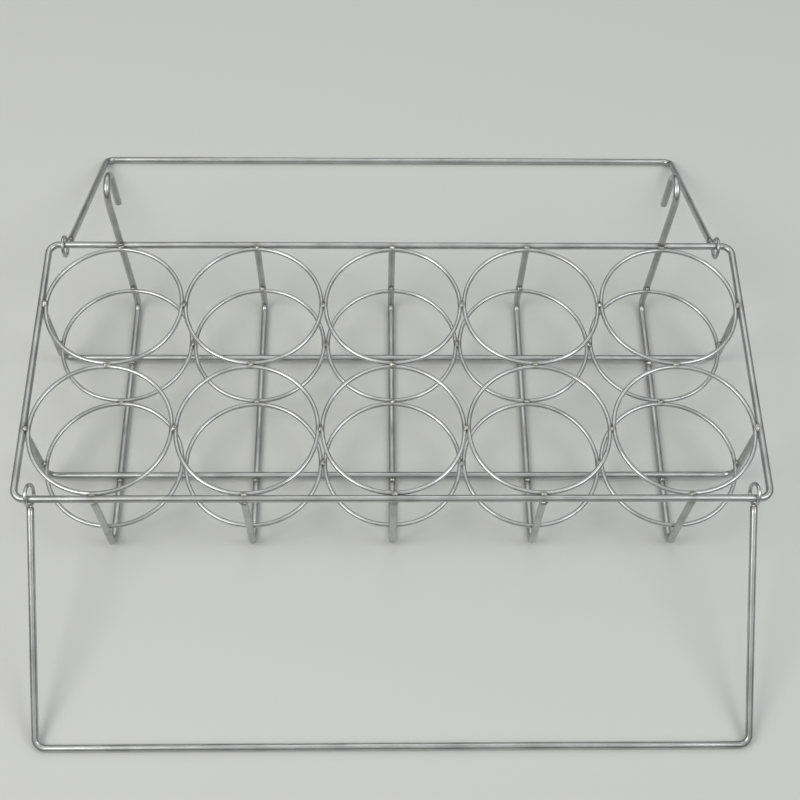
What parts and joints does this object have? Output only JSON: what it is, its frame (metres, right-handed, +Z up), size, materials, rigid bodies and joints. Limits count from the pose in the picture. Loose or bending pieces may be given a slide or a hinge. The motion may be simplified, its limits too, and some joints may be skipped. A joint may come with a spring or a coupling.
{
  "type": "wire bottle carrier",
  "caption": "Welded stainless wire carrier that stands bottles upright in rows of rings, with fold-down bail handles and hooks that hang it on a tank edge.",
  "frame": {"origin": "on the surface that the rack stands on, midway between the side rails and between the two handles", "axes": "+X along the rack to the right, +Y to the rear where the hooks are, +Z up"},
  "size_m": [0.407, 0.3984, 0.1175],
  "materials": {
    "frame_wire": "bright drawn stainless wire",
    "ring_wire": "bright drawn stainless wire",
    "handle_wire": "bright drawn stainless wire"
  },
  "bodies": {
    "rack": {"top_frame": "frame_wire", "upper_ring_front_1": "ring_wire", "upper_ring_front_2": "ring_wire", "upper_ring_front_3": "ring_wire", "upper_ring_front_4": "ring_wire", "upper_ring_front_5": "ring_wire", "lower_ring_front_1": "ring_wire", "lower_ring_front_2": "ring_wire", "lower_ring_front_3": "ring_wire", "lower_ring_front_4": "ring_wire", "lower_ring_front_5": "ring_wire", "upper_ring_rear_1": "ring_wire", "upper_ring_rear_2": "ring_wire", "upper_ring_rear_3": "ring_wire", "upper_ring_rear_4": "ring_wire", "upper_ring_rear_5": "ring_wire", "lower_ring_rear_1": "ring_wire", "lower_ring_rear_2": "ring_wire", "lower_ring_rear_3": "ring_wire", "lower_ring_rear_4": "ring_wire", "lower_ring_rear_5": "ring_wire", "cross_wire_1": "frame_wire", "cross_wire_2": "frame_wire", "cross_wire_3": "frame_wire", "cross_wire_4": "frame_wire", "cross_wire_5": "frame_wire", "long_wire_front": "frame_wire", "long_wire_rear": "frame_wire", "hook_left": "frame_wire", "hook_right": "frame_wire"},
    "front_handle": {"front_handle": "handle_wire"},
    "rear_handle": {"rear_handle": "handle_wire"}
  },
  "joints": [
    {"name": "front_handle_hinge", "type": "hinge", "parent": "rack", "child": "front_handle", "pos_m": [0, -0.08178, 0.066], "axis": [-1, 0, 0], "range_deg": [-61, 155]},
    {"name": "rear_handle_hinge", "type": "hinge", "parent": "rack", "child": "rear_handle", "pos_m": [0, 0.08178, 0.066], "axis": [1, 0, 0], "range_deg": [-61, 155]}
  ]
}
